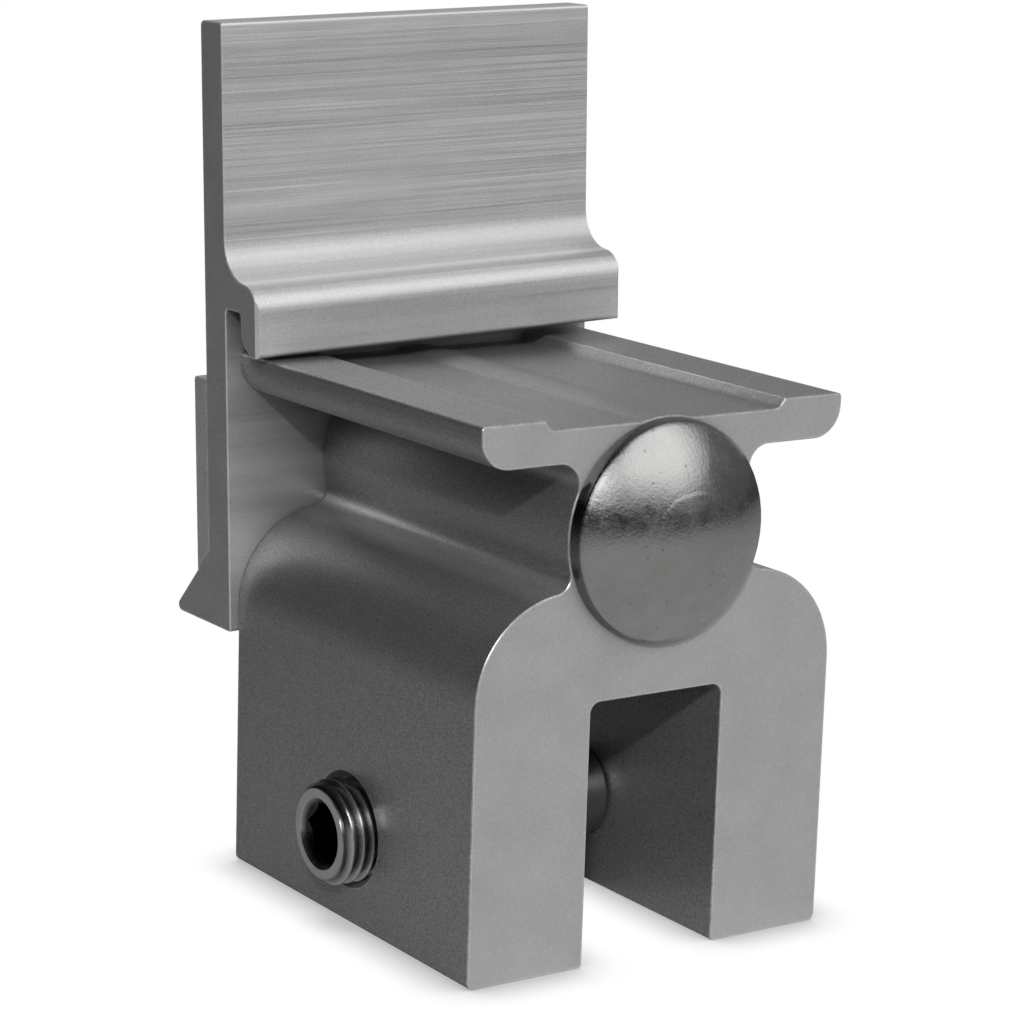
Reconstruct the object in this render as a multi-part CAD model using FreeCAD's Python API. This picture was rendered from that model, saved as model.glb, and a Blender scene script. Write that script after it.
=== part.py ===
import FreeCAD, Part
import math
import os

# Standing seam clamp with a pivoting hook bracket.
# Millimetres. X to the right, Y to the rear, Z up. The origin lies in the plane of the feet,
# at the middle of the seam slot.

# Clamp body, one extrusion along Y
body_width = 38.1
body_length = 40.2
slot_width = 14.1
slot_height = 23.95
roof_corner = 1.0
foot_outer_corner = 0.7
foot_inner_corner = 0.4
axis_z = 38.5
boss_r = 10.05
shoulder_r = 9.1
shoulder_drop = 4.5
boss_fillet = 1.5
crown_rise = 0.35
flange_width = 38.26
flange_thickness = 3.89
flange_fillet = 2.0
lobe_r = 2.85
flange_corner = 0.4
recess_half = 12.08
recess_slope = 0.69
recess_depth = 0.86
recess_fillet = 0.7
body_end_break = 0.08

# Bolt with domed head and square neck
shank_r = 4.0
shank_length = 60.0
shank_chamfer = 0.8
head_r = 9.95
head_rim = 1.2
head_rim_taper = 0.22
head_height = 4.6
neck_side = 8.0
neck_length = 4.5
neck_corner = 0.6
neck_gap = 0.15
shank_gap = 0.3

# Bracket, one extrusion along X
bracket_width = 40.5
bracket_shift = -0.15
bracket_end_break = 0.08
plate_thickness = 3.85
plate_above_axis = 41.4
plate_below_axis = 15.4
plate_gap = 0.03
nose_reach = 5.8
nose_lift = 0.95
nose_height = 6.3
nose_top_rise = 0.6
nose_corner = 2.4
nose_end_break = 0.35
hook_width = 2.8
hook_depth = 3.85
hook_bend = 2.45
plate_fillet = 3.6
foot_reach = 6.35
foot_lip = 0.75
foot_round = 0.55
tilt_deg = -1.75

# Backing plate, washer and nut behind the bracket
backing_thickness = 2.25
backing_above_axis = 8.2
backing_corner = 0.45
washer_r = 8.0
washer_thickness = 1.6
nut_across = 13.0
nut_height = 6.5
nut_gap = 0.05
nut_face_gap = 0.03

# Set screw across the seam slot
screw_r = 4.7625
screw_gap = 0.04
screw_z = 8.8
screw_out = 2.9
screw_chamfer = 0.55
nose_r = 4.25
nose_length = 4.5
nose_round = 0.25
nose_clear = 0.16
socket_across = 4.76
socket_depth = 5.0
socket_mouth_r = 3.3
socket_mouth_depth = 0.45
socket_turn_deg = 19
hole_mouth_r = 5.38

front = -body_length / 2
rear = body_length / 2
recess_floor = axis_z + boss_r - crown_rise
flange_top = recess_floor + recess_depth
flange_under = flange_top - flange_thickness
plate_front = rear + plate_gap
plate_rear = plate_front + plate_thickness
backing_rear = plate_rear + backing_thickness
washer_rear = backing_rear + washer_thickness
bracket_left = bracket_shift - bracket_width / 2
bracket_right = bracket_shift + bracket_width / 2
plate_top = axis_z + plate_above_axis
plate_bottom = axis_z - plate_below_axis
nose_bottom = flange_top + nose_lift
nose_top = nose_bottom + nose_height
flare_top = plate_bottom + foot_lip + foot_reach
X = FreeCAD.Vector(1, 0, 0)
Y = FreeCAD.Vector(0, 1, 0)


def line(a, b):
    return Part.LineSegment(a, b).toShape()


def arc(centre, a, b):
    """The shorter arc about centre from a to b."""
    half = (a - centre) + (b - centre)
    middle = centre + half.normalize() * (a - centre).Length
    return Part.Arc(a, middle, b).toShape()


def meet(a, ra, b, rb):
    """The point at ra from a and rb from b, on the left of the way from b to a."""
    between = b - a
    d = between.Length
    along = (ra * ra - rb * rb + d * d) / (2 * d)
    across = math.sqrt(ra * ra - along * along)
    u = between * (1 / d)
    return a + u * along + FreeCAD.Vector(-u.z, 0, u.x) * across


def rounded(corners):
    """A closed outline through corners, each a point and the radius that rounds it."""
    starts = []
    ends = []
    edges = []
    count = len(corners)
    for i in range(count):
        point, radius = corners[i]
        back = (corners[i - 1][0] - point).normalize()
        on = (corners[(i + 1) % count][0] - point).normalize()
        if radius == 0:
            starts.append(point)
            ends.append(point)
            continue
        half = back.getAngle(on) / 2
        setback = radius / math.tan(half)
        starts.append(point + back * setback)
        ends.append(point + on * setback)
        centre = point + (back + on).normalize() * (radius / math.sin(half))
        edges.append(arc(centre, starts[i], ends[i]))
    for i in range(count):
        if (starts[(i + 1) % count] - ends[i]).Length > 1e-6:
            edges.append(line(ends[i], starts[(i + 1) % count]))
    return Part.Wire(Part.__sortEdges__(edges))


def bar(wire, along):
    return Part.Face(wire).extrude(along)


def break_ends(solid, axis, positions, size):
    """Chamfers the outline edges that lie in the end planes of an extrusion."""
    edges = []
    for edge in solid.Edges:
        box = edge.BoundBox
        low, high = (box.XMin, box.XMax) if axis == "x" else (box.YMin, box.YMax)
        if any(abs(low - p) < 1e-4 and abs(high - p) < 1e-4 for p in positions):
            edges.append(edge)
    return solid.makeChamfer(size, edges)


def cylinder_y(radius, start, end):
    return Part.makeCylinder(radius, end - start, FreeCAD.Vector(0, start, axis_z), Y)


def tilt(shape):
    """Turns a bracket piece about the bolt into its rest position."""
    turned = shape.copy()
    turned.rotate(FreeCAD.Vector(0, 0, axis_z), Y, tilt_deg)
    return turned


def half_outline():
    """The right half of the body's section, from the crown of the boss down to the slot roof."""
    v = lambda x, z: FreeCAD.Vector(x, front, z)
    side = body_width / 2
    slot = slot_width / 2
    lip = flange_width / 2
    floor = recess_floor
    boss = v(0, axis_z)
    shoulder = v(side - shoulder_r, axis_z - shoulder_drop - shoulder_r)
    low = meet(boss, boss_r + boss_fillet, shoulder, shoulder_r + boss_fillet)
    drop = flange_under - flange_fillet - axis_z
    high = v(math.sqrt((boss_r + flange_fillet) ** 2 - drop ** 2), flange_under - flange_fillet)
    lobe = v(lip - lobe_r, flange_under + lobe_r)
    toe = lip - flange_corner
    on_boss_low = boss + (low - boss).normalize() * boss_r
    on_boss_high = boss + (high - boss).normalize() * boss_r
    on_shoulder = shoulder + (low - shoulder).normalize() * shoulder_r
    crown = v(math.sqrt(boss_r ** 2 - (floor - axis_z) ** 2), floor)
    steepness = math.atan2(recess_depth, recess_slope)
    setback = recess_fillet * math.tan(steepness / 2)
    on_floor = v(recess_half - setback, floor)
    on_slope = v(recess_half + setback * math.cos(steepness), floor + setback * math.sin(steepness))
    return [
        arc(boss, v(0, axis_z + boss_r), crown),
        line(crown, on_floor),
        arc(v(on_floor.x, floor + recess_fillet), on_floor, on_slope),
        line(on_slope, v(recess_half + recess_slope, flange_top)),
        line(v(recess_half + recess_slope, flange_top), v(toe, flange_top)),
        arc(v(toe, flange_top - flange_corner), v(toe, flange_top), v(lip, flange_top - flange_corner)),
        line(v(lip, flange_top - flange_corner), v(lip, lobe.z)),
        arc(lobe, v(lip, lobe.z), v(lobe.x, flange_under)),
        line(v(lobe.x, flange_under), v(high.x, flange_under)),
        arc(high, v(high.x, flange_under), on_boss_high),
        arc(boss, on_boss_high, on_boss_low),
        arc(low, on_boss_low, on_shoulder),
        arc(shoulder, on_shoulder, v(side, shoulder.z)),
        line(v(side, shoulder.z), v(side, foot_outer_corner)),
        arc(v(side - foot_outer_corner, foot_outer_corner),
            v(side, foot_outer_corner), v(side - foot_outer_corner, 0)),
        line(v(side - foot_outer_corner, 0), v(slot + foot_inner_corner, 0)),
        arc(v(slot + foot_inner_corner, foot_inner_corner),
            v(slot + foot_inner_corner, 0), v(slot, foot_inner_corner)),
        line(v(slot, foot_inner_corner), v(slot, slot_height - roof_corner)),
        arc(v(slot - roof_corner, slot_height - roof_corner),
            v(slot, slot_height - roof_corner), v(slot - roof_corner, slot_height)),
        line(v(slot - roof_corner, slot_height), v(0, slot_height)),
    ]


def make_body():
    right = half_outline()
    left = [edge.mirror(FreeCAD.Vector(0, 0, 0), X) for edge in right]
    section = Part.Wire(Part.__sortEdges__(right + left))
    body = bar(section, FreeCAD.Vector(0, body_length, 0))
    body = break_ends(body, "y", (front, rear), body_end_break)
    seat = neck_side + 2 * neck_gap
    corner = FreeCAD.Vector(-seat / 2, front - 1, axis_z - seat / 2)
    body = body.cut(Part.makeBox(seat, neck_length + 1.5, seat, corner))
    body = body.cut(cylinder_y(shank_r + shank_gap, front - 1, rear + 1))
    mouth = FreeCAD.Vector(-body_width / 2 - 1, 0, screw_z)
    hole_r = screw_r + screw_gap
    body = body.cut(Part.makeCylinder(hole_r, body_width / 2 + 1, mouth, X))
    flare = hole_mouth_r - hole_r
    cone = Part.makeCone(hole_mouth_r + 1, hole_r, flare + 1, mouth, X)
    return body.cut(cone)


def make_bolt():
    v = lambda r, y: FreeCAD.Vector(r, y, axis_z)
    tip = front - head_height
    rim = v(head_r - head_rim_taper, front - head_rim)
    rise = head_height - head_rim
    dome_r = (rim.x ** 2 + rise ** 2) / (2 * rise)
    centre = v(0, tip + dome_r)
    end = front + shank_length
    outline = [
        line(v(0, end), v(shank_r - shank_chamfer, end)),
        line(v(shank_r - shank_chamfer, end), v(shank_r, end - shank_chamfer)),
        line(v(shank_r, end - shank_chamfer), v(shank_r, front)),
        line(v(shank_r, front), v(head_r, front)),
        line(v(head_r, front), rim),
        arc(centre, rim, v(0, tip)),
        line(v(0, tip), v(0, end)),
    ]
    turned = Part.Face(Part.Wire(outline)).revolve(v(0, 0), Y, 360)
    corner = FreeCAD.Vector(-neck_side / 2, front, axis_z - neck_side / 2)
    neck = Part.makeBox(neck_side, neck_length, neck_side, corner)
    long_edges = [e for e in neck.Edges if e.BoundBox.YLength > neck_length / 2]
    return turned.fuse(neck.makeFillet(neck_corner, long_edges)).removeSplitter()


def bracket_outline():
    v = lambda y, z: FreeCAD.Vector(bracket_left, y, z)
    nose_front = plate_front - nose_reach
    hook_rear = plate_front - hook_width
    hook_roof = nose_bottom + hook_depth
    foot_rear = plate_rear + foot_reach
    return rounded([
        (v(plate_front, plate_bottom), 0.3),
        (v(plate_front, hook_roof), 0.5),
        (v(hook_rear, hook_roof), 0.5),
        (v(hook_rear, nose_bottom), hook_bend),
        (v(nose_front, nose_bottom), 0.45),
        (v(nose_front, nose_top), nose_corner),
        (v(plate_front, nose_top + nose_top_rise), plate_fillet),
        (v(plate_front, plate_top), 0.3),
        (v(plate_rear, plate_top), 0.5),
        (v(plate_rear, flare_top), 0),
        (v(foot_rear, plate_bottom + foot_lip), foot_round),
        (v(foot_rear - 0.2, plate_bottom), foot_round),
    ])


def nose_end_cut(end, inward):
    """The wedge that breaks the nose's upright front edge at one end of the bracket."""
    v = lambda x, y: FreeCAD.Vector(end + x * inward, plate_front - nose_reach + y, nose_bottom - 1)
    corners = [v(-1, -1), v(nose_end_break + 1, -1), v(-1, nose_end_break + 1), v(-1, -1)]
    return bar(Part.makePolygon(corners), FreeCAD.Vector(0, 0, nose_height + 2))


def make_bracket():
    bracket = bar(bracket_outline(), FreeCAD.Vector(bracket_width, 0, 0))
    bracket = break_ends(bracket, "x", (bracket_left, bracket_right), bracket_end_break)
    bracket = bracket.cut(nose_end_cut(bracket_left, 1)).cut(nose_end_cut(bracket_right, -1))
    return tilt(bracket.cut(cylinder_y(shank_r + shank_gap, rear - 1, plate_rear + 1)))


def make_backing_plate():
    v = lambda y, z: FreeCAD.Vector(bracket_left, y, z)
    top = axis_z + backing_above_axis
    section = rounded([
        (v(plate_rear, flare_top), 0),
        (v(plate_rear, top), 0.2),
        (v(backing_rear, top), backing_corner),
        (v(backing_rear, flare_top - backing_thickness), 0),
    ])
    plate = bar(section, FreeCAD.Vector(bracket_width, 0, 0))
    return tilt(plate.cut(cylinder_y(shank_r + shank_gap, plate_rear - 1, backing_rear + 1)))


def make_washer():
    washer = cylinder_y(washer_r, backing_rear, washer_rear)
    washer = washer.makeChamfer(0.2, [e for e in washer.Edges if e.BoundBox.YLength < 0.1])
    return washer.cut(cylinder_y(shank_r + shank_gap, backing_rear - 1, washer_rear + 1))


def make_nut():
    start = washer_rear + nut_face_gap
    end = start + nut_height
    corner_r = nut_across / math.sqrt(3)
    points = []
    for i in range(7):
        a = math.radians(60 * i + 30)
        points.append(FreeCAD.Vector(corner_r * math.cos(a), start, axis_z + corner_r * math.sin(a)))
    nut = bar(Part.makePolygon(points), FreeCAD.Vector(0, nut_height, 0))
    turned = cylinder_y(corner_r, start, end)
    turned = turned.makeChamfer(0.55, [e for e in turned.Edges if e.BoundBox.YLength < 0.1])
    nut = nut.common(turned)
    bore = shank_r + nut_gap
    nut = nut.cut(cylinder_y(bore, start - 1, end + 1))
    for y, outward in ((start, -1), (end, 1)):
        base = FreeCAD.Vector(0, y, axis_z)
        nut = nut.cut(Part.makeCone(bore + 0.5, bore, 0.5, base, Y * -outward))
    return nut


def make_set_screw():
    v = lambda x, r: FreeCAD.Vector(x, 0, screw_z + r)
    outer = -body_width / 2 - screw_out
    tip = slot_width / 2 - nose_clear
    neck = tip - nose_length
    outline = [
        line(v(outer, 0), v(outer, screw_r - screw_chamfer)),
        line(v(outer, screw_r - screw_chamfer), v(outer + screw_chamfer, screw_r)),
        line(v(outer + screw_chamfer, screw_r), v(neck - 0.7, screw_r)),
        line(v(neck - 0.7, screw_r), v(neck, nose_r)),
        line(v(neck, nose_r), v(tip - nose_round, nose_r)),
        arc(v(tip - nose_round, nose_r - nose_round),
            v(tip - nose_round, nose_r), v(tip, nose_r - nose_round)),
        line(v(tip, nose_r - nose_round), v(tip, 0)),
        line(v(tip, 0), v(outer, 0)),
    ]
    screw = Part.Face(Part.Wire(outline)).revolve(v(0, 0), X, 360)
    corner_r = socket_across / math.sqrt(3)
    points = []
    for i in range(7):
        a = math.radians(60 * i + socket_turn_deg)
        points.append(FreeCAD.Vector(outer - 1, corner_r * math.sin(a), screw_z + corner_r * math.cos(a)))
    socket = bar(Part.makePolygon(points), FreeCAD.Vector(socket_depth + 1, 0, 0))
    slope = (socket_mouth_r - corner_r) / socket_mouth_depth
    mouth = Part.makeCone(socket_mouth_r + slope, corner_r - slope, 2 + socket_mouth_depth,
                          FreeCAD.Vector(outer - 1, 0, screw_z), X)
    return screw.cut(socket).cut(mouth)


parts = {
    "clamp_body": make_body(),
    "carriage_bolt": make_bolt(),
    "bracket": make_bracket(),
    "backing_plate": make_backing_plate(),
    "flat_washer": make_washer(),
    "hex_nut": make_nut(),
    "set_screw": make_set_screw(),
}
os.makedirs("parts", exist_ok=True)
for name, shape in parts.items():
    shape.exportStep("parts/" + name + ".step")
    box = shape.BoundBox
    print(name, shape.isValid(), len(shape.Solids), round(shape.Volume / 1000, 3), "cm3",
          [round(n, 2) for n in (box.XMin, box.XMax, box.YMin, box.YMax, box.ZMin, box.ZMax)])
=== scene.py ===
"""Looks of the standing seam clamp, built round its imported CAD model."""

import math

import bmesh
import bpy
from mathutils import Matrix, Vector


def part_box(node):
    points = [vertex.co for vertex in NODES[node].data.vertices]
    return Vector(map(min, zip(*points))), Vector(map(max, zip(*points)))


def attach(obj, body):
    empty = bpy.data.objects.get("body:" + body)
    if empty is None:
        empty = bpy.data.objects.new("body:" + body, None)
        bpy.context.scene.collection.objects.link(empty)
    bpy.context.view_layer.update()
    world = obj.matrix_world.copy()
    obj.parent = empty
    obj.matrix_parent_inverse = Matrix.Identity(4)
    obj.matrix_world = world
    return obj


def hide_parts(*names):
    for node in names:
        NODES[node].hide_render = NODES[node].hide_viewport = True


bl_info = {
    "name": "Standing seam clamp",
    "version": (1, 0, 0),
    "blender": (4, 5, 0),
    "location": "View3D > Sidebar > Seam clamp",
    "description": "Threads, metal finishes, light and camera for the standing seam clamp",
    "category": "Object",
}

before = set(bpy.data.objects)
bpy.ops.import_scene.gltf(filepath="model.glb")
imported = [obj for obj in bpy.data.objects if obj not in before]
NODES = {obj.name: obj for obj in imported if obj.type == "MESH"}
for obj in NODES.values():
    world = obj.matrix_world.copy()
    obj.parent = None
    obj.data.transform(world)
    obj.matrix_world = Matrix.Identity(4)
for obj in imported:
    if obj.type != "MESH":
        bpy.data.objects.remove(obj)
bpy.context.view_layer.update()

MM = 0.001
# Heights of the bolt's axis and of the set screw's, in millimetres.
BOLT_Z = 38.5
SCREW_Z = 8.8
# The bracket's lean to the side, which its die lines follow.
BRACKET_TILT = math.radians(1.75)
# Depth of a thread's cut, as a share of its pitch.
THREAD_DEPTH = 0.6134
# Side of the photo and the place of the camera's axis in it, in pixels.
PHOTO_SIDE = 1024
PHOTO_AXIS = (470.95, 503.23)
# Where the camera looks and where the lamp hangs and points, in metres.
CAMERA_AIM = (0, 0.0099, 0.035)
LAMP_PLACE = (-0.426, -0.562, 0.412)
LAMP_AIM = (0, 0, 0.035)
LAMP_SIDE = 0.03
# Soft lights of the surroundings: direction, the angles from it in degrees at which the light
# ends and is full, and power.
SOFT_LIGHTS = (
    ((0.32, -0.68, 0.66), 38, 6, 1.15),
    ((-0.24, -0.85, 0.47), 24, 2, 0.6),
    ((-0.56, -0.68, 0.47), 20, 4, 1.5),
    ((0.10, 0.20, 0.97), 40, 10, 0.15),
    ((0.45, 0.80, 0.40), 40, 10, 0.2),
)
# Patches of floor that throw light up at the clamp: middle, the distances at which the patch
# starts to fade and ends, all in metres, and brightness.
BRIGHT_FLOOR = (
    ((0.06, -0.1, 0), 0.13, 0.36, 0.65),
    ((0.14, 0.32, 0), 0.1, 0.26, 0.55),
)
# Brightness of the floor that is thrown up everywhere else.
DIM_FLOOR = 0.12


# Sizes and colours


class ClampFinish(bpy.types.PropertyGroup):
    block_colour: bpy.props.FloatVectorProperty(
        name="Block", description="Colour of the clamp block's aluminium",
        default=(0.40, 0.40, 0.40), min=0, max=1, size=3, subtype="COLOR")
    block_roughness: bpy.props.FloatProperty(
        name="Block roughness", description="Roughness of the matte block",
        default=0.41, min=0, max=1, subtype="FACTOR")
    bracket_colour: bpy.props.FloatVectorProperty(
        name="Bracket", description="Colour of the bracket's aluminium",
        default=(0.91, 0.91, 0.91), min=0, max=1, size=3, subtype="COLOR")
    bracket_roughness: bpy.props.FloatProperty(
        name="Bracket roughness", description="Roughness of the satin bracket",
        default=0.5, min=0, max=1, subtype="FACTOR")
    backing_colour: bpy.props.FloatVectorProperty(
        name="Backing plate", description="Colour of the strip behind the bracket",
        default=(0.84, 0.84, 0.84), min=0, max=1, size=3, subtype="COLOR")
    bolt_colour: bpy.props.FloatVectorProperty(
        name="Bolt", description="Colour of the bolt, the washer and the nut",
        default=(0.54, 0.54, 0.53), min=0, max=1, size=3, subtype="COLOR")
    bolt_roughness: bpy.props.FloatProperty(
        name="Bolt roughness", description="Roughness of the tumbled steel",
        default=0.2, min=0, max=1, subtype="FACTOR")
    screw_colour: bpy.props.FloatVectorProperty(
        name="Set screw", description="Colour of the set screw",
        default=(0.38, 0.38, 0.38), min=0, max=1, size=3, subtype="COLOR")


class ClampThreads(bpy.types.PropertyGroup):
    screw_radius: bpy.props.FloatProperty(
        name="Set screw radius",
        description="Outer radius of the set screw's thread, in millimetres",
        default=4.7625, min=1)
    screw_pitch: bpy.props.FloatProperty(
        name="Set screw pitch", description="Pitch of the set screw's thread, in millimetres",
        default=1.0583, min=0.3)
    bolt_radius: bpy.props.FloatProperty(
        name="Bolt radius", description="Outer radius of the bolt's thread, in millimetres",
        default=4.0, min=1)
    bolt_pitch: bpy.props.FloatProperty(
        name="Bolt pitch", description="Pitch of the bolt's thread, in millimetres",
        default=1.25, min=0.3)
    turn_steps: bpy.props.IntProperty(
        name="Steps", description="Steps of one turn of a thread", default=56, min=12)


class ClampStage(bpy.types.PropertyGroup):
    azimuth: bpy.props.FloatProperty(
        name="Azimuth", description="Camera's angle round the clamp",
        default=math.radians(-33.76), subtype="ANGLE")
    elevation: bpy.props.FloatProperty(
        name="Elevation", description="Camera's angle above the floor",
        default=math.radians(12.16), subtype="ANGLE")
    roll: bpy.props.FloatProperty(
        name="Roll", description="Camera's turn about its own line of sight",
        default=math.radians(1.64), subtype="ANGLE")
    distance: bpy.props.FloatProperty(
        name="Distance", description="From the camera to the point that it looks at",
        default=0.30319, min=0.05, unit="LENGTH")
    lens: bpy.props.FloatProperty(
        name="Lens", description="Focal length, in millimetres", default=113.6, min=10)
    key_power: bpy.props.FloatProperty(
        name="Key light", description="Power of the lamp on the left, above the camera",
        default=1.7, min=0, unit="POWER")
    floor_tone: bpy.props.FloatProperty(
        name="Floor", description="Brightness of the pale floor",
        default=1.0, min=0, max=1, subtype="FACTOR")


# Meshes


def finished(bm, name, body, material, axis_matrix, sharp=35):
    """Turns bm, drawn in millimetres along +Z, into a piece that rides on body."""
    bmesh.ops.remove_doubles(bm, verts=bm.verts, dist=1e-4)
    bmesh.ops.recalc_face_normals(bm, faces=bm.faces)
    bmesh.ops.transform(bm, matrix=axis_matrix, verts=bm.verts)
    bmesh.ops.scale(bm, vec=(MM, MM, MM), verts=bm.verts)
    mesh = bpy.data.meshes.new(name)
    bm.to_mesh(mesh)
    bm.free()
    mesh.shade_smooth()
    mesh.set_sharp_from_angle(angle=math.radians(sharp))
    piece = bpy.data.objects.new(name, mesh)
    bpy.context.scene.collection.objects.link(piece)
    piece.data.materials.append(material)
    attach(piece, body)
    return piece


def outline_verts(bm, points):
    """A chain of vertices at (radius, height) in the XZ plane, joined by edges."""
    verts = [bm.verts.new((r, 0, z)) for r, z in points]
    edges = [bm.edges.new(pair) for pair in zip(verts, verts[1:])]
    return verts + edges


def thread(bm, radius, pitch, low, high, steps, limit):
    """A right-hand thread from low to high. No point lies further out than limit(height).

    The outline of one turn is given by radius and height, the height as a share of the pitch:
    root, flank, crest, flank and root."""
    root = radius - THREAD_DEPTH * pitch
    flank_parts = 4
    shape = [(root, 0), (root, 0.125), (radius, 0.4375), (radius, 0.5625), (root, 0.875), (root, 1)]
    points = []
    for (r0, h0), (r1, h1) in zip(shape, shape[1:]):
        parts = flank_parts if r0 != r1 else 1
        for i in range(parts):
            t = i / parts
            points.append((r0 + (r1 - r0) * t, (h0 + (h1 - h0) * t) * pitch))
    points.append((root, pitch))
    start = low - 2 * pitch
    turns = math.ceil((high - low) / pitch) + 3
    geom = outline_verts(bm, [(r, start + h) for r, h in points])
    bmesh.ops.spin(bm, geom=geom, cent=(0, 0, 0), axis=(0, 0, 1), dvec=(0, 0, pitch / steps),
                   angle=math.tau * turns, steps=steps * turns, use_duplicate=False)
    bmesh.ops.remove_doubles(bm, verts=bm.verts, dist=1e-4)
    for height, keep_above in ((low, True), (high, False)):
        bmesh.ops.bisect_plane(bm, geom=bm.verts[:] + bm.edges[:] + bm.faces[:], dist=1e-5,
                               plane_co=(0, 0, height), plane_no=(0, 0, 1),
                               clear_inner=keep_above, clear_outer=not keep_above)
    for v in bm.verts:
        r = math.hypot(v.co.x, v.co.y)
        most = limit(v.co.z)
        if r > most:
            v.co.x *= most / r
            v.co.y *= most / r


def rim(bm, height):
    """The open edges at a height."""
    return [e for e in bm.edges
            if e.is_boundary and all(abs(v.co.z - height) < 1e-3 for v in e.verts)]


def drawn_out(bm, edges, points):
    """Extends open edges about Z through rings of (radius, height), and returns the last ring."""
    for radius, height in points:
        out = bmesh.ops.extrude_edge_only(bm, edges=edges)["geom"]
        edges = [g for g in out if isinstance(g, bmesh.types.BMEdge)]
        for v in {v for e in edges for v in e.verts}:
            r = math.hypot(v.co.x, v.co.y)
            v.co = (v.co.x * radius / r, v.co.y * radius / r, height)
    return edges


def arc_points(centre_r, centre_z, radius, start, end, count):
    """Outline points on an arc, with angles in degrees from the outward direction."""
    angles = [math.radians(start + (end - start) * i / count) for i in range(count + 1)]
    return [(centre_r + radius * math.cos(a), centre_z + radius * math.sin(a)) for a in angles]


# Materials


def add(tree, kind, inputs=None, **settings):
    """A new node with its settings. Each input is a socket to link or a value to set."""
    node = tree.nodes.new(kind)
    for key, value in settings.items():
        setattr(node, key, value)
    for key, value in (inputs or {}).items():
        socket = node.inputs[key]
        if isinstance(value, bpy.types.NodeSocket):
            tree.links.new(value, socket)
        else:
            socket.default_value = value
    return node


def maths(tree, operation, a, b=0.0, c=None, clamp=False):
    """The result of a sum done by a node."""
    inputs = {0: a, 1: b} if c is None else {0: a, 1: b, 2: c}
    return add(tree, "ShaderNodeMath", inputs, operation=operation, use_clamp=clamp).outputs[0]


def spread(tree, value, low, high, to_low, to_high):
    """The value carried from the span low to high over to another span, and held at its ends."""
    return add(tree, "ShaderNodeMapRange", {
        "Value": value, "From Min": low, "From Max": high, "To Min": to_low, "To Max": to_high,
    }).outputs["Result"]


def mixed(tree, first, second, share):
    """The first value times its share plus the second value times the rest."""
    return maths(tree, "MULTIPLY_ADD", first, share, maths(tree, "MULTIPLY", second, 1 - share))


def length(tree, first, second):
    """Length of a step that has these two parts at right angles."""
    squares = [maths(tree, "MULTIPLY", part, part) for part in (first, second)]
    return maths(tree, "SQRT", maths(tree, "ADD", *squares))


def group_tree(name, inputs, outputs):
    """A new node group with the sockets named, its inputs and its outputs."""
    tree = bpy.data.node_groups.new(name, "ShaderNodeTree")
    for label, kind in inputs:
        tree.interface.new_socket(name=label, in_out="INPUT", socket_type=kind)
    for label, kind in outputs:
        tree.interface.new_socket(name=label, in_out="OUTPUT", socket_type=kind)
    return tree, tree.nodes.new("NodeGroupInput").outputs, tree.nodes.new("NodeGroupOutput").inputs


def extrusion_lines_group():
    """Die lines that run along X of the coordinates: a broad tone and a fine height."""
    tree, given, out = group_tree(
        "Extrusion lines",
        [("Vector", "NodeSocketVector"), ("Lines", "NodeSocketFloat"),
         ("Bands", "NodeSocketFloat")],
        [("Tone", "NodeSocketFloat"), ("Height", "NodeSocketFloat")])
    along = add(tree, "ShaderNodeVectorMath", {0: given["Vector"], 1: (0.004, 1, 1)},
                operation="MULTIPLY")
    fine = add(tree, "ShaderNodeTexNoise", {
        "Vector": along.outputs[0], "Scale": given["Lines"], "Detail": 3.0, "Roughness": 0.6})
    broad = add(tree, "ShaderNodeTexNoise", {
        "Vector": along.outputs[0], "Scale": given["Bands"], "Detail": 2.0, "Roughness": 0.5})
    tree.links.new(mixed(tree, broad.outputs["Fac"], fine.outputs["Fac"], 0.6), out["Tone"])
    tree.links.new(fine.outputs["Fac"], out["Height"])


def grain_group():
    """Even fine grain with a little cloudiness."""
    tree, given, out = group_tree(
        "Metal grain",
        [("Vector", "NodeSocketVector"), ("Grain", "NodeSocketFloat"), ("Cloud", "NodeSocketFloat")],
        [("Tone", "NodeSocketFloat"), ("Height", "NodeSocketFloat")])
    fine = add(tree, "ShaderNodeTexNoise", {
        "Vector": given["Vector"], "Scale": given["Grain"], "Detail": 2.0, "Roughness": 0.7})
    cloud = add(tree, "ShaderNodeTexNoise", {
        "Vector": given["Vector"], "Scale": given["Cloud"], "Detail": 3.0, "Roughness": 0.5})
    tree.links.new(mixed(tree, cloud.outputs["Fac"], fine.outputs["Fac"], 0.5), out["Tone"])
    tree.links.new(fine.outputs["Fac"], out["Height"])


def pits_group():
    """Scattered small pits: 1 in a pit, 0 between."""
    tree, given, out = group_tree(
        "Pits",
        [("Vector", "NodeSocketVector"), ("Spacing", "NodeSocketFloat"), ("Size", "NodeSocketFloat")],
        [("Mask", "NodeSocketFloat")])
    cells = add(tree, "ShaderNodeTexVoronoi", {"Vector": given["Vector"], "Scale": given["Spacing"]})
    chosen = add(tree, "ShaderNodeTexWhiteNoise", {"Vector": cells.outputs["Position"]})
    size = maths(tree, "MULTIPLY", given["Size"], chosen.outputs["Value"])
    inside = maths(tree, "SUBTRACT", size, cells.outputs["Distance"])
    steepness = 12.0
    tree.links.new(maths(tree, "MULTIPLY", inside, steepness, clamp=True), out["Mask"])


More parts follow.
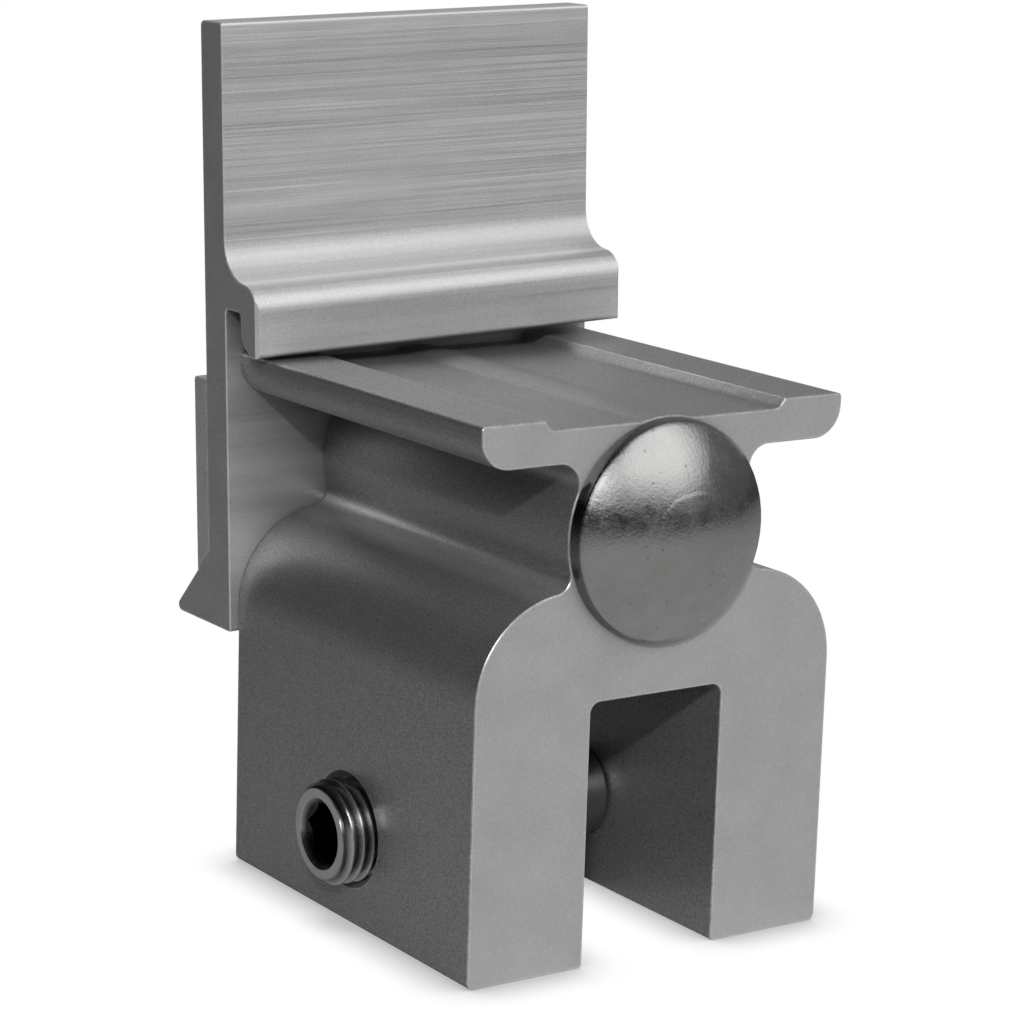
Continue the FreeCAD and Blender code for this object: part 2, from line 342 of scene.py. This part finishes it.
def edge_shine_group():
    """1 along the edges of a piece, where a highlight is painted, 0 on its faces."""
    tree, given, out = group_tree(
        "Edge shine", [("Width", "NodeSocketFloat")], [("Mask", "NodeSocketFloat")])
    soft = add(tree, "ShaderNodeBevel", {"Radius": given["Width"]}, samples=6)
    hard = add(tree, "ShaderNodeNewGeometry")
    same = add(tree, "ShaderNodeVectorMath", {0: soft.outputs[0], 1: hard.outputs["Normal"]},
               operation="DOT_PRODUCT").outputs["Value"]
    # The painted edge highlight is made patchy.
    patchy = add(tree, "ShaderNodeTexNoise", {
        "Vector": add(tree, "ShaderNodeTexCoord").outputs["Object"], "Scale": 700.0, "Detail": 3.0})
    shine_patches = spread(tree, patchy.outputs["Fac"], 0.35, 0.65, 0.35, 1.25)
    edge = spread(tree, same, 0.99, 0.86, 0.0, 1.0)
    tree.links.new(maths(tree, "MULTIPLY", edge, shine_patches), out["Mask"])


def crevice_shade_group():
    """Painted shade: a tone that falls by up to Depth in gaps and corners as wide as Reach, up to the
    height Top.

    It fades out towards the pale floor."""
    tree, given, out = group_tree(
        "Crevice shade",
        [("Depth", "NodeSocketFloat"), ("Reach", "NodeSocketFloat"), ("Top", "NodeSocketFloat")],
        [("Tone", "NodeSocketFloat")])
    place = add(tree, "ShaderNodeTexCoord").outputs["Object"]
    rise = add(tree, "ShaderNodeSeparateXYZ", {0: place}).outputs["Z"]
    lift = maths(tree, "MULTIPLY", spread(tree, rise, 6 * MM, 12 * MM, 0.0, 1.0),
                 maths(tree, "LESS_THAN", rise, given["Top"]))
    open_sky = add(tree, "ShaderNodeAmbientOcclusion", {"Distance": given["Reach"]},
                   samples=8).outputs["AO"]
    painted_shade = maths(tree, "MULTIPLY", spread(tree, open_sky, 0.15, 0.75, 1.0, 0.0), lift)
    fall = maths(tree, "MULTIPLY", painted_shade, given["Depth"])
    tree.links.new(maths(tree, "SUBTRACT", 1.0, fall), out["Tone"])


def face_mask(tree, normal, axis):
    """1 where the surface faces along an axis of the part, 0 elsewhere."""
    part = add(tree, "ShaderNodeSeparateXYZ", {0: normal}).outputs[axis]
    return spread(tree, maths(tree, "ABSOLUTE", part), 0.9, 0.97, 0.0, 1.0)


def band(tree, value, low, high, soft):
    """1 between low and high, falling to 0 over soft on either side."""
    return maths(tree, "MINIMUM", spread(tree, value, low - soft, low, 0.0, 1.0),
                 spread(tree, value, high, high + soft, 1.0, 0.0))


def toned(tree, colour, value):
    """The colour times a varying grey value."""
    grey = add(tree, "ShaderNodeCombineColor", {0: value, 1: value, 2: value}).outputs[0]
    mix = add(tree, "ShaderNodeMix", {0: 1.0, 6: (*colour, 1), 7: grey},
              data_type="RGBA", blend_type="MULTIPLY")
    return mix.outputs[2]


def metal(name, metallic=1.0):
    """A new material, its tree, its Principled shader and the object's coordinates and normal."""
    material = bpy.data.materials.new(name)
    material.use_nodes = True
    tree = material.node_tree
    shader = tree.nodes["Principled BSDF"]
    shader.inputs["Metallic"].default_value = metallic
    place = add(tree, "ShaderNodeTexCoord")
    return material, tree, shader, place.outputs["Object"], place.outputs["Normal"]


def finish_shader(tree, shader, colour, value, roughness, height, strength, distance):
    """Feeds the shader a toned colour, a roughness and a bump, its distance in metres."""
    tree.links.new(toned(tree, colour, value), shader.inputs["Base Color"])
    tree.links.new(roughness, shader.inputs["Roughness"])
    bump = add(tree, "ShaderNodeBump", {"Height": height, "Strength": strength, "Distance": distance})
    tree.links.new(bump.outputs["Normal"], shader.inputs["Normal"])


def use(tree, group, **inputs):
    """A node that runs one of the groups above."""
    return add(tree, "ShaderNodeGroup", inputs, node_tree=bpy.data.node_groups[group])


def extruded_metal(name, colour, roughness, turn, ends_axis, line_strength, ends_lit_tone,
                   metallic=0.7, streaks=5200.0, streak_gloss=0.1, speckle=1.0, edge_highlight_strength=0.9,
                   marks=(), reach=9.0, top=200.0):
    """Extruded aluminium: die lines on its sides, even grain on its sawn ends, painted highlights along
    its edges.

    Turn brings the extrusion along X. Each mark is a strip of another tone along it: its low and
    high edge and its softness, in millimetres up the piece, and its tone; some marks are painted
    highlights and painted shade. Gaps and corners up to reach millimetres wide get painted shade,
    up to the height top. The ends' tone against the sides carries painted light: lighter where an
    end is lit, darker where it is shaded."""
    ends_speckle = 0.5
    grain_roughness, ends_roughness, edge_roughness = 0.16, 0.26, -0.12
    material, tree, shader, place, normal = metal(name, metallic)
    held = add(tree, "ShaderNodeMapping", {"Vector": place, "Rotation": turn}).outputs[0]
    lines = use(tree, "Extrusion lines", Vector=held, Lines=streaks, Bands=420.0)
    up = add(tree, "ShaderNodeSeparateXYZ", {0: held}).outputs["Z"]
    grain = use(tree, "Metal grain", Vector=place, Grain=7000.0, Cloud=260.0)
    ends = face_mask(tree, normal, ends_axis)
    shine = use(tree, "Edge shine", Width=0.3 * MM).outputs["Mask"]
    side_tone = spread(tree, lines.outputs["Tone"], 0.3, 0.7, 1 - line_strength, 1 + line_strength)
    for low, high, soft, tone in marks:
        strip = band(tree, up, low * MM, high * MM, soft * MM)
        side_tone = maths(tree, "MULTIPLY_ADD", strip, tone, side_tone)
    end_tone = spread(tree, grain.outputs["Tone"], 0.3, 0.7, ends_lit_tone * 0.93, ends_lit_tone * 1.07)
    value = add(tree, "ShaderNodeMix", {0: ends, 2: side_tone, 3: end_tone}).outputs[0]
    # Painted highlight along the edges.
    value = maths(tree, "MULTIPLY_ADD", shine, edge_highlight_strength, value)
    specks = maths(tree, "SUBTRACT", grain.outputs["Height"], 0.5)
    speck_strength = maths(tree, "MULTIPLY_ADD", ends, ends_speckle - speckle, speckle)
    value = maths(tree, "MULTIPLY_ADD", specks, speck_strength, value)
    # Painted shade in gaps and corners, where little light gets in.
    crevice_shade = use(tree, "Crevice shade", Depth=0.7, Reach=reach * MM, Top=top * MM)
    value = maths(tree, "MULTIPLY", value, crevice_shade.outputs["Tone"])
    rough = maths(tree, "MULTIPLY_ADD", grain.outputs["Tone"], grain_roughness,
                  roughness - grain_roughness / 2)
    streak = maths(tree, "SUBTRACT", lines.outputs["Height"], 0.5)
    rough = maths(tree, "MULTIPLY_ADD", streak, streak_gloss, rough)
    rough = maths(tree, "MULTIPLY_ADD", ends, ends_roughness, rough)
    rough = maths(tree, "MULTIPLY_ADD", shine, edge_roughness, rough)
    height = add(tree, "ShaderNodeMix", {
        0: ends, 2: lines.outputs["Height"], 3: grain.outputs["Height"]}).outputs[0]
    finish_shader(tree, shader, colour, value, rough, height, strength=0.35, distance=0.02 * MM)
    return material


def tumbled_steel(name, colour, roughness, head):
    """Tumbled steel: cloudy gloss, shallow dents and pits, painted highlights along its edges. A head has
    painted shade on the side of its rim and a forging ring.
    """
    pit_tone, edge_highlight_tone = -0.22, 0.35
    dent_height, grain_height, pit_height, ring_height = 0.6, 0.5, -0.2, 0.5
    material, tree, shader, place, normal = metal(name)
    grain = use(tree, "Metal grain", Vector=place, Grain=3600.0, Cloud=520.0)
    pits = use(tree, "Pits", Vector=place, Spacing=900.0, Size=0.2).outputs["Mask"]
    shine = use(tree, "Edge shine", Width=0.2 * MM).outputs["Mask"]
    value = spread(tree, grain.outputs["Tone"], 0.25, 0.75, 0.84, 1.12)
    value = maths(tree, "MULTIPLY_ADD", pits, pit_tone, value)
    # Painted highlight along the edges.
    value = maths(tree, "MULTIPLY_ADD", shine, edge_highlight_tone, value)
    rough = spread(tree, grain.outputs["Tone"], 0.3, 0.7, roughness - 0.08, roughness + 0.12)
    dents = add(tree, "ShaderNodeTexNoise", {"Vector": place, "Scale": 620.0, "Detail": 2.0})
    height = maths(tree, "MULTIPLY", grain.outputs["Height"], grain_height)
    height = maths(tree, "MULTIPLY_ADD", dents.outputs["Fac"], dent_height, height)
    height = maths(tree, "MULTIPLY_ADD", pits, pit_height, height)
    if head:
        ring_waver = 0.7 * MM
        parts = add(tree, "ShaderNodeSeparateXYZ", {0: place})
        rise = maths(tree, "SUBTRACT", parts.outputs["Z"], BOLT_Z * MM)
        away = length(tree, parts.outputs["X"], rise)
        away = maths(tree, "MULTIPLY_ADD", dents.outputs["Fac"], ring_waver, away)
        ring = spread(tree, away, 4.2 * MM, 4.5 * MM, 1.0, 0.0)
        height = maths(tree, "MULTIPLY_ADD", ring, ring_height, height)
        # Painted shade on the side of the head's rim, near its front.
        facing = maths(tree, "ABSOLUTE", add(tree, "ShaderNodeSeparateXYZ", {0: normal}).outputs["Y"])
        front = spread(tree, parts.outputs["Y"], -20.3 * MM, -20.1 * MM, 1.0, 0.0)
        painted_shade = maths(tree, "MULTIPLY", spread(tree, facing, 0.45, 0.7, 0.62, 0.0), front)
        value = maths(tree, "MULTIPLY", value, maths(tree, "SUBTRACT", 1.0, painted_shade))
    finish_shader(tree, shader, colour, value, rough, height, strength=0.6, distance=0.06 * MM)
    return material


def dark_steel(name, colour, roughness):
    """Dark oiled steel of the set screw: a lighter end face, painted highlights on the crests and along
    the edges, painted shade in the roots and the socket.
    """
    edge_highlight_tone, end_tone, socket_shade, nose_roughness = 0.9, 0.8, -0.85, 0.25
    material, tree, shader, place, _ = metal(name)
    grain = use(tree, "Metal grain", Vector=place, Grain=5200.0, Cloud=700.0)
    shine = use(tree, "Edge shine", Width=0.14 * MM).outputs["Mask"]
    value = spread(tree, grain.outputs["Tone"], 0.25, 0.75, 0.8, 1.15)
    # Painted highlight along the edges.
    value = maths(tree, "MULTIPLY_ADD", shine, edge_highlight_tone, value)
    parts = add(tree, "ShaderNodeSeparateXYZ", {0: place})
    along = parts.outputs["X"]
    rise = maths(tree, "SUBTRACT", parts.outputs["Z"], SCREW_Z * MM)
    away = length(tree, parts.outputs["Y"], rise)
    # Painted shade in the hex socket.
    outside = spread(tree, along, -16.2 * MM, -16.0 * MM, 1.0, 0.0)
    socket = maths(tree, "MULTIPLY", spread(tree, away, 2.8 * MM, 3.1 * MM, 1.0, 0.0), outside)
    face = spread(tree, along, -21.9 * MM, -21.8 * MM, 1.0, 0.0)
    end = maths(tree, "MULTIPLY", face, spread(tree, away, 2.8 * MM, 3.1 * MM, 0.0, 1.0))
    # Painted highlight on the thread's crests and painted shade in its roots.
    thread_light_and_shade = spread(tree, away, 4.2 * MM, 4.7 * MM, 0.6, 2.2)
    core = spread(tree, away, 4.2 * MM, 4.0 * MM, 0.0, 1.0)
    value = maths(tree, "MULTIPLY", value, maths(tree, "MAXIMUM", thread_light_and_shade, core))
    value = maths(tree, "MULTIPLY_ADD", end, end_tone, value)
    value = maths(tree, "MULTIPLY", value, maths(tree, "MULTIPLY_ADD", socket, socket_shade, 1.0))
    rough = spread(tree, grain.outputs["Tone"], 0.3, 0.7, roughness - 0.06, roughness + 0.08)
    nose = spread(tree, along, 1.6 * MM, 2.2 * MM, 0.0, 1.0)
    rough = maths(tree, "MULTIPLY_ADD", nose, nose_roughness, rough)
    finish_shader(tree, shader, colour, value, rough, grain.outputs["Height"],
                  strength=0.4, distance=0.03 * MM)
    return material


def repaint(name, material):
    """Gives a CAD piece this material alone."""
    node = NODES[name]
    node.data.materials.clear()
    node.data.materials.append(material)


# Operators


class SEAMCLAMP_OT_block(bpy.types.Operator):
    """Gives the clamp block its matte extruded aluminium"""
    bl_idname = "seamclamp.block"
    bl_label = "Block"

    def execute(self, context):
        finish = context.scene.clamp_finish
        # Painted light: the block's ends are lighter than its sides, as its lit front end is, and its mark
        # is a painted highlight, the shine along the fillet at its waist.
        repaint("clamp_body", extruded_metal(
            "Block aluminium", finish.block_colour, finish.block_roughness,
            turn=(0, 0, math.pi / 2), ends_axis="Y", line_strength=0.03, ends_lit_tone=1.66,
            speckle=2.2, edge_highlight_strength=1.8, marks=((33.9, 34.7, 0.6, 0.6),), top=48.0))
        return {"FINISHED"}


class SEAMCLAMP_OT_bracket(bpy.types.Operator):
    """Gives the bracket and the strip behind it their satin extruded aluminium"""
    bl_idname = "seamclamp.bracket"
    bl_label = "Bracket"

    def execute(self, context):
        finish = context.scene.clamp_finish
        turn = (0, BRACKET_TILT, 0)
        # Painted shade: the bracket's ends are darker than its sides, as its shaded side end is, and the
        # marks at 57.2 to 61.0 mm and 53.2 to 54.6 mm tone down the highlights on the fillet and on the
        # nose's corner. The other marks are strips of lighter and darker tone. Its painted crevice shade
        # reaches 24 mm.
        repaint("bracket", extruded_metal(
            "Bracket aluminium", finish.bracket_colour, finish.bracket_roughness,
            turn=turn, ends_axis="X", line_strength=0.16, ends_lit_tone=0.6, metallic=0.8,
            streaks=9000.0, streak_gloss=0.7, speckle=0.55, reach=24.0,
            marks=((75.9, 76.2, 0.15, -0.12), (74.4, 75.4, 0.3, -0.07), (73.6, 73.75, 0.1, 0.06),
                   (57.2, 61.0, 1.0, -0.1), (56.55, 56.62, 0.06, 0.25),
                   (56.15, 56.4, 0.1, -0.22), (53.2, 54.6, 0.5, -0.08))))
        # Painted shade: the strip's ends are darker than its sides.
        repaint("backing_plate", extruded_metal(
            "Backing aluminium", finish.backing_colour, finish.block_roughness,
            turn=turn, ends_axis="X", line_strength=0.08, ends_lit_tone=0.85))
        return {"FINISHED"}


class SEAMCLAMP_OT_bolt(bpy.types.Operator):
    """Builds the bolt with its domed head, square neck and cut thread"""
    bl_idname = "seamclamp.bolt"
    bl_label = "Bolt"

    def execute(self, context):
        finish = context.scene.clamp_finish
        threads = context.scene.clamp_threads
        low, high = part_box("carriage_bolt")
        whole = (high.y - low.y) / MM
        head_r = (high.x - low.x) / 2 / MM
        head, rim_height, rim_taper = 4.6, 1.2, 0.22
        dome = head - rim_height
        dome_steps, last_ring = 26, 88.5
        neck_side, neck_length, neck_corner = 8.0, 4.5, 0.6
        chamfer, thread_end, run_out = 0.8, 23.0, 0.75
        radius, pitch = threads.bolt_radius, threads.bolt_pitch
        front = whole - head
        top_r = head_r - rim_taper
        dome_r = (top_r ** 2 + dome ** 2) / (2 * dome)
        edge = math.degrees(math.asin((dome_r - dome) / dome_r))
        bm = bmesh.new()
        thread(bm, radius, pitch, 0.0, thread_end, threads.turn_steps,
               lambda z: min(radius, radius - chamfer + z,
                             radius - run_out + 0.5 * (thread_end - z)))
        last = drawn_out(bm, rim(bm, 0.0), [(2.6, 0.0), (0.4, 0.0)])
        bmesh.ops.holes_fill(bm, edges=last)
        last = drawn_out(bm, rim(bm, thread_end), [
            (radius, thread_end + 0.9), (radius, front - 0.3), (radius + 0.2, front), (top_r, front)])
        arc = arc_points(0, whole - dome_r, dome_r, edge, last_ring, dome_steps)
        last = drawn_out(bm, last, [
            (head_r - 0.1, front), (head_r, front + 0.1), (head_r - 0.05, front + 0.3),
            (top_r + 0.05, front + rim_height - 0.15),
            (top_r - 0.06, front + rim_height + 0.02)] + arc[1:])
        bmesh.ops.holes_fill(bm, edges=last)
        neck = bmesh.ops.create_cube(bm, size=1.0)["verts"]
        bmesh.ops.scale(bm, vec=(neck_side, neck_side, neck_length), verts=neck)
        bmesh.ops.translate(bm, vec=(0, 0, front - neck_length / 2), verts=neck)
        upright = [e for e in {e for v in neck for e in v.link_edges}
                   if abs(e.verts[0].co.z - e.verts[1].co.z) > 1]
        bmesh.ops.bevel(bm, geom=upright, affect="EDGES", offset=neck_corner, segments=4,
                        profile=0.5, material=-1)
        along = Matrix(((1, 0, 0, 0), (0, 0, -1, high.y / MM), (0, 1, 0, BOLT_Z), (0, 0, 0, 1)))
        piece = finished(bm, "domed_bolt", "clamp",
                         tumbled_steel("Bolt steel", finish.bolt_colour, finish.bolt_roughness, head=True),
                         along)
        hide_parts("carriage_bolt")
        return {"FINISHED"}


class SEAMCLAMP_OT_nut(bpy.types.Operator):
    """Gives the washer and the nut behind the bracket their steel"""
    bl_idname = "seamclamp.nut"
    bl_label = "Nut and washer"

    def execute(self, context):
        finish = context.scene.clamp_finish
        rougher = 0.06
        steel = tumbled_steel("Nut steel", finish.bolt_colour, finish.bolt_roughness + rougher, head=False)
        repaint("hex_nut", steel)
        repaint("flat_washer", steel)
        return {"FINISHED"}


class SEAMCLAMP_OT_set_screw(bpy.types.Operator):
    """Builds the set screw with its cut thread, hex socket and round nose"""
    bl_idname = "seamclamp.set_screw"
    bl_label = "Set screw"

    def execute(self, context):
        finish = context.scene.clamp_finish
        threads = context.scene.clamp_threads
        low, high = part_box("set_screw")
        whole = (high.x - low.x) / MM
        radius, pitch = threads.screw_radius, threads.screw_pitch
        nose_r, nose, nose_round, taper, chamfer = 4.25, 4.5, 0.25, 0.7, 0.68
        socket_across, socket_deep, socket_point = 4.76, 5.0, 6.0
        mouth_r, mouth_deep, socket_turn = 3.3, 0.45, math.radians(19)
        bm = bmesh.new()
        thread(bm, radius, pitch, nose, whole, threads.turn_steps,
               lambda z: min(radius, nose_r + (z - nose) * (radius - nose_r) / taper,
                             radius + (whole - z) - chamfer))
        last = drawn_out(bm, rim(bm, nose), [(nose_r, nose_round)] + arc_points(
            nose_r - nose_round, nose_round, nose_round, 0, -90, 5)[1:] + [(1.6, 0.0), (0.3, 0.0)])
        bmesh.ops.holes_fill(bm, edges=last)
        inner = bmesh.ops.create_circle(bm, segments=96, radius=mouth_r)["verts"]
        bmesh.ops.rotate(bm, cent=(0, 0, 0), matrix=Matrix.Rotation(socket_turn, 3, "Z"), verts=inner)
        bmesh.ops.translate(bm, vec=(0, 0, whole), verts=inner)
        ring = list({e for v in inner for e in v.link_edges})
        bmesh.ops.bridge_loops(bm, edges=[e for e in rim(bm, whole) if e not in ring] + ring)

        def hexed(verts, height=None):
            """Moves a ring onto the hexagon, at a height or else on the cone of the mouth."""
            sixth = math.tau / 6
            corner_r = socket_across / math.sqrt(3)
            for v in verts:
                turn = (math.atan2(v.co.y, v.co.x) - socket_turn) % sixth - sixth / 2
                r = socket_across / 2 / math.cos(turn)
                now = math.hypot(v.co.x, v.co.y)
                depth = mouth_deep * (mouth_r - r) / (mouth_r - corner_r)
                v.co = (v.co.x * r / now, v.co.y * r / now, whole - depth if height is None else height)

        for height in (None, whole - socket_deep):
            out = bmesh.ops.extrude_edge_only(bm, edges=ring)["geom"]
            ring = [g for g in out if isinstance(g, bmesh.types.BMEdge)]
            hexed([g for g in out if isinstance(g, bmesh.types.BMVert)], height)
        last = drawn_out(bm, ring, [(2.2, whole - socket_deep - 0.1), (0.2, whole - socket_point)])
        bmesh.ops.holes_fill(bm, edges=last)
        along = Matrix(((0, 0, -1, high.x / MM), (0, 1, 0, 0), (1, 0, 0, SCREW_Z), (0, 0, 0, 1)))
        piece = finished(bm, "threaded_set_screw", "screw",
                         dark_steel("Set screw steel", finish.screw_colour, roughness=0.22),
                         along, sharp=28)
        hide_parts("set_screw")
        return {"FINISHED"}


class SEAMCLAMP_OT_stage(bpy.types.Operator):
    """Lays the pale floor, hangs the soft lights and sets the camera"""
    bl_idname = "seamclamp.stage"
    bl_label = "Stage"

    def execute(self, context):
        scene = context.scene
        stage = scene.clamp_stage
        scene.view_settings.view_transform = "Standard"
        self.floor(stage)
        self.world(scene)
        lamp = self.lamp("Key light", stage.key_power)
        self.keep_apart(lamp, bpy.data.objects["domed_bolt"])
        self.camera(scene, stage)
        return {"FINISHED"}

    def floor(self, stage):
        """A floor as pale as the ground of the photo, with a soft shadow where it is touched.

        What it throws back at the clamp has a tone of its own."""
        bm = bmesh.new()
        bmesh.ops.create_grid(bm, x_segments=1, y_segments=1, size=3.0)
        mesh = bpy.data.meshes.new("floor")
        bm.to_mesh(mesh)
        bm.free()
        floor = bpy.data.objects.new("floor", mesh)
        bpy.context.scene.collection.objects.link(floor)
        material = bpy.data.materials.new("Pale floor")
        material.use_nodes = True
        tree = material.node_tree
        tree.nodes.clear()
        touch = add(tree, "ShaderNodeAmbientOcclusion", {"Distance": 5 * MM}, samples=16).outputs["AO"]
        white = add(tree, "ShaderNodeEmission", {
            "Color": (1, 1, 1, 1), "Strength": spread(tree, touch, 0.45, 0.97, 0.5, stage.floor_tone)})
        place = add(tree, "ShaderNodeTexCoord").outputs["Object"]
        patches = []
        for middle, inner, outer, bright in BRIGHT_FLOOR:
            away = add(tree, "ShaderNodeVectorMath", {0: place, 1: middle}, operation="DISTANCE")
            patches.append(spread(tree, away.outputs["Value"], inner, outer, bright, DIM_FLOOR))
        tone = maths(tree, "MAXIMUM", *patches)
        grey = add(tree, "ShaderNodeCombineColor", {0: tone, 1: tone, 2: tone}).outputs[0]
        thrown = add(tree, "ShaderNodeBsdfDiffuse", {"Color": grey})
        path = add(tree, "ShaderNodeLightPath")
        pick = add(tree, "ShaderNodeMixShader", {
            0: path.outputs["Is Camera Ray"], 1: thrown.outputs[0], 2: white.outputs[0]})
        out = add(tree, "ShaderNodeOutputMaterial")
        tree.links.new(pick.outputs[0], out.inputs["Surface"])
        mesh.materials.append(material)

    def world(self, scene):
        """White to the camera, and a dim studio with soft lights to the clamp."""
        world = bpy.data.worlds.new("Studio")
        world.use_nodes = True
        tree = world.node_tree
        tree.nodes.clear()
        direction = add(tree, "ShaderNodeTexCoord").outputs["Generated"]
        parts = add(tree, "ShaderNodeSeparateXYZ", {0: direction})
        side = spread(tree, parts.outputs["X"], -0.2, 0.55, 0.07, 1.0)
        rise = spread(tree, parts.outputs["Z"], -0.1, 0.9, 0.09, 0.22)
        strength = maths(tree, "MULTIPLY", rise, side)
        for centre, outer, inner, power in SOFT_LIGHTS:
            toward = add(tree, "ShaderNodeVectorMath", {0: direction, 1: Vector(centre).normalized()},
                         operation="DOT_PRODUCT").outputs["Value"]
            glow = add(tree, "ShaderNodeMapRange", {
                "Value": toward,
                "From Min": math.cos(math.radians(outer)), "From Max": math.cos(math.radians(inner)),
                "To Min": 0.0, "To Max": power}, interpolation_type="SMOOTHSTEP").outputs["Result"]
            strength = maths(tree, "ADD", strength, glow)
        around = add(tree, "ShaderNodeBackground", {"Color": (1, 1, 1, 1), "Strength": strength})
        plain = add(tree, "ShaderNodeBackground", {"Color": (1, 1, 1, 1), "Strength": 1.0})
        path = add(tree, "ShaderNodeLightPath")
        pick = add(tree, "ShaderNodeMixShader", {
            0: path.outputs["Is Camera Ray"], 1: around.outputs[0], 2: plain.outputs[0]})
        out = add(tree, "ShaderNodeOutputWorld")
        tree.links.new(pick.outputs[0], out.inputs["Surface"])
        scene.world = world

    def lamp(self, name, power):
        """A square lamp in its place, aimed at the clamp."""
        light = bpy.data.lights.new(name, "AREA")
        light.shape = "SQUARE"
        light.size = LAMP_SIDE
        light.energy = power
        holder = bpy.data.objects.new(name, light)
        holder.location = LAMP_PLACE
        aim = Vector(LAMP_AIM) - Vector(LAMP_PLACE)
        holder.rotation_euler = aim.to_track_quat("-Z", "Y").to_euler()
        bpy.context.scene.collection.objects.link(holder)
        return holder

    def keep_apart(self, holder, piece):
        """Lets the lamp light everything but this piece, so the smooth dome shows no hard spot."""
        others = bpy.data.collections.new("Kept from " + holder.name)
        others.objects.link(piece)
        others.collection_objects[0].light_linking.link_state = "EXCLUDE"
        holder.light_linking.receiver_collection = others

    def camera(self, scene, stage):
        """The photo's view: its axis is shifted in the picture and rolled."""
        data = bpy.data.cameras.new("Camera")
        data.lens = stage.lens
        data.shift_x = (PHOTO_SIDE / 2 - PHOTO_AXIS[0]) / PHOTO_SIDE
        data.shift_y = (PHOTO_AXIS[1] - PHOTO_SIDE / 2) / PHOTO_SIDE
        data.clip_start, data.clip_end = 0.01, 20
        a, e = stage.azimuth, stage.elevation
        back = Vector((math.sin(a) * math.cos(e), -math.cos(a) * math.cos(e), math.sin(e)))
        right = Vector((0, 0, 1)).cross(back).normalized()
        up = back.cross(right)
        level = Matrix((right, up, back)).transposed()
        turn = level @ Matrix.Rotation(stage.roll, 3, "Z")
        camera = bpy.data.objects.new("Camera", data)
        place = Matrix.Translation(Vector(CAMERA_AIM) + back * stage.distance)
        camera.matrix_world = place @ turn.to_4x4()
        scene.collection.objects.link(camera)
        scene.camera = camera


OPERATORS = (
    SEAMCLAMP_OT_block, SEAMCLAMP_OT_bracket, SEAMCLAMP_OT_bolt, SEAMCLAMP_OT_nut,
    SEAMCLAMP_OT_set_screw, SEAMCLAMP_OT_stage,
)


class SEAMCLAMP_PT_panel(bpy.types.Panel):
    """Sizes, colours and build steps of the seam clamp"""
    bl_label = "Seam clamp"
    bl_idname = "SEAMCLAMP_PT_panel"
    bl_space_type = "VIEW_3D"
    bl_region_type = "UI"
    bl_category = "Seam clamp"

    def draw(self, context):
        for group_name, group_class in GROUPS.items():
            box = self.layout.box()
            for name in group_class.__annotations__:
                box.prop(getattr(context.scene, group_name), name)
        for operator in OPERATORS:
            self.layout.operator(operator.bl_idname)


GROUPS = {"clamp_finish": ClampFinish, "clamp_threads": ClampThreads, "clamp_stage": ClampStage}


def register():
    for cls in (*GROUPS.values(), *OPERATORS, SEAMCLAMP_PT_panel):
        bpy.utils.register_class(cls)
    for name, cls in GROUPS.items():
        setattr(bpy.types.Scene, name, bpy.props.PointerProperty(type=cls))


def unregister():
    for name in GROUPS:
        delattr(bpy.types.Scene, name)
    for cls in (SEAMCLAMP_PT_panel, *reversed(OPERATORS), *GROUPS.values()):
        bpy.utils.unregister_class(cls)


def main():
    register()
    extrusion_lines_group()
    grain_group()
    pits_group()
    edge_shine_group()
    crevice_shade_group()
    bpy.ops.seamclamp.block()
    bpy.ops.seamclamp.bracket()
    bpy.ops.seamclamp.bolt()
    bpy.ops.seamclamp.nut()
    bpy.ops.seamclamp.set_screw()
    bpy.ops.seamclamp.stage()


if __name__ == "__main__":
    main()
